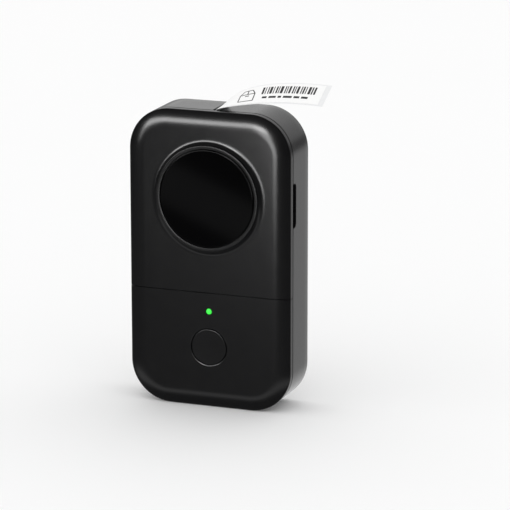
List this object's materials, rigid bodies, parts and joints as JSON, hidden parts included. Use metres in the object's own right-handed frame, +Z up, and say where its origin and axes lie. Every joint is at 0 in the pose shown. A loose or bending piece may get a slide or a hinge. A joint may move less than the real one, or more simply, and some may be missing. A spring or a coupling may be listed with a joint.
{
  "type": "thermal label printer",
  "caption": "Pocket thermal label printer that stands upright, with a round window in its side-hinged door, a power button, and a printed label curling out of its top slot.",
  "frame": {"origin": "middle of the flat bottom face, in the plane of the middle of the label's width", "axes": "+X to the printer's right seen from the front, +Y from the window towards the back, +Z up"},
  "size_m": [0.0892, 0.0272, 0.1472],
  "materials": {
    "casing": "dark grey moulded plastic, fine satin texture",
    "door": "dark grey moulded plastic, fine satin texture",
    "window": "smoked clear plastic, polished",
    "tray": "black moulded plastic",
    "button": "dark grey plastic, satin",
    "light": "translucent green plastic",
    "paper": "white coated thermal paper",
    "card": "kraft card tube",
    "steel": "plain steel",
    "screw": "black zinc plated steel",
    "aluminium": "plain aluminium",
    "rubber": "ground silicone rubber",
    "acetal": "natural acetal",
    "ceramic": "glazed alumina",
    "brass": "turned brass",
    "chip": "black epoxy moulding",
    "film": "flexible printed cable",
    "board": "green circuit board",
    "battery": "heat-sealed foil pouch"
  },
  "bodies": {
    "printer": {"rear_housing": "casing", "lower_front_cover": "casing", "hinge_pin": "steel", "inner_tray": "tray", "roll_spindle": "tray", "label_strip": "paper", "platen_front_bush": "brass", "platen_rear_bush": "brass", "idler_pin": "steel", "drive_motor": "steel", "motor_screw_1": "screw", "motor_screw_2": "screw", "head_pivot_pin": "steel", "head_spring": "steel", "tear_bar": "steel", "gap_sensor": "chip", "head_ribbon": "film", "main_board": "board", "light_pipe": "light", "status_led": "acetal", "power_switch": "steel", "control_chip": "chip", "charging_socket": "steel", "socket_tongue": "chip", "battery_pack": "battery", "back_screw_1": "screw", "back_screw_2": "screw", "board_screw_1": "screw", "board_screw_2": "screw", "tray_screw_1": "screw", "tray_screw_2": "screw", "tray_screw_3": "screw", "tray_screw_4": "screw"},
    "door": {"roll_door": "door", "roll_window": "window"},
    "button": {"power_button": "button", "switch_plunger": "chip"},
    "roll": {"label_roll": "paper", "roll_core": "card"},
    "platen": {"platen_roller": "rubber", "platen_shaft": "steel", "platen_gear": "acetal"},
    "idler": {"idler_gear": "acetal"},
    "motor_rotor": {"motor_pinion": "brass", "motor_shaft": "steel"},
    "head": {"print_head": "ceramic", "head_heat_sink": "aluminium"}
  },
  "joints": [
    {"name": "door_hinge", "type": "hinge", "parent": "printer", "child": "door", "pos_m": [-0.0364, -0.0075, 0.085], "axis": [0, 0, -1], "range_deg": [0, 85]},
    {"name": "button_press", "type": "slide", "parent": "printer", "child": "button", "axis": [0, 1, 0], "range_m": [0, 0.0005], "stiffness_N_per_m": 300},
    {"name": "roll_spin", "type": "hinge", "parent": "printer", "child": "roll", "pos_m": [0, 0, 0.094], "axis": [0, 1, 0], "continuous": true},
    {"name": "platen_spin", "type": "hinge", "parent": "printer", "child": "platen", "pos_m": [-0.00108, 0, 0.12246], "axis": [0, 1, 0], "continuous": true},
    {"name": "idler_spin", "type": "hinge", "parent": "printer", "child": "idler", "pos_m": [0.00987, 0.0097, 0.11624], "axis": [0, 1, 0], "continuous": true},
    {"name": "motor_spin", "type": "hinge", "parent": "printer", "child": "motor_rotor", "pos_m": [0.02, 0.0097, 0.12], "axis": [0, 1, 0], "continuous": true},
    {"name": "head_lift", "type": "hinge", "parent": "printer", "child": "head", "pos_m": [-0.01302, 0, 0.11695], "axis": [0, -1, 0], "range_deg": [0, 7], "deforming": ["head_spring"]}
  ],
  "couplings": [
    {"joint": "platen_spin", "follows": "roll_spin", "ratio": 5},
    {"joint": "idler_spin", "follows": "roll_spin", "ratio": -3.75},
    {"joint": "motor_spin", "follows": "roll_spin", "ratio": 7.5},
    {"joint": "head_lift", "follows": "door_hinge", "ratio": 0.08}
  ]
}
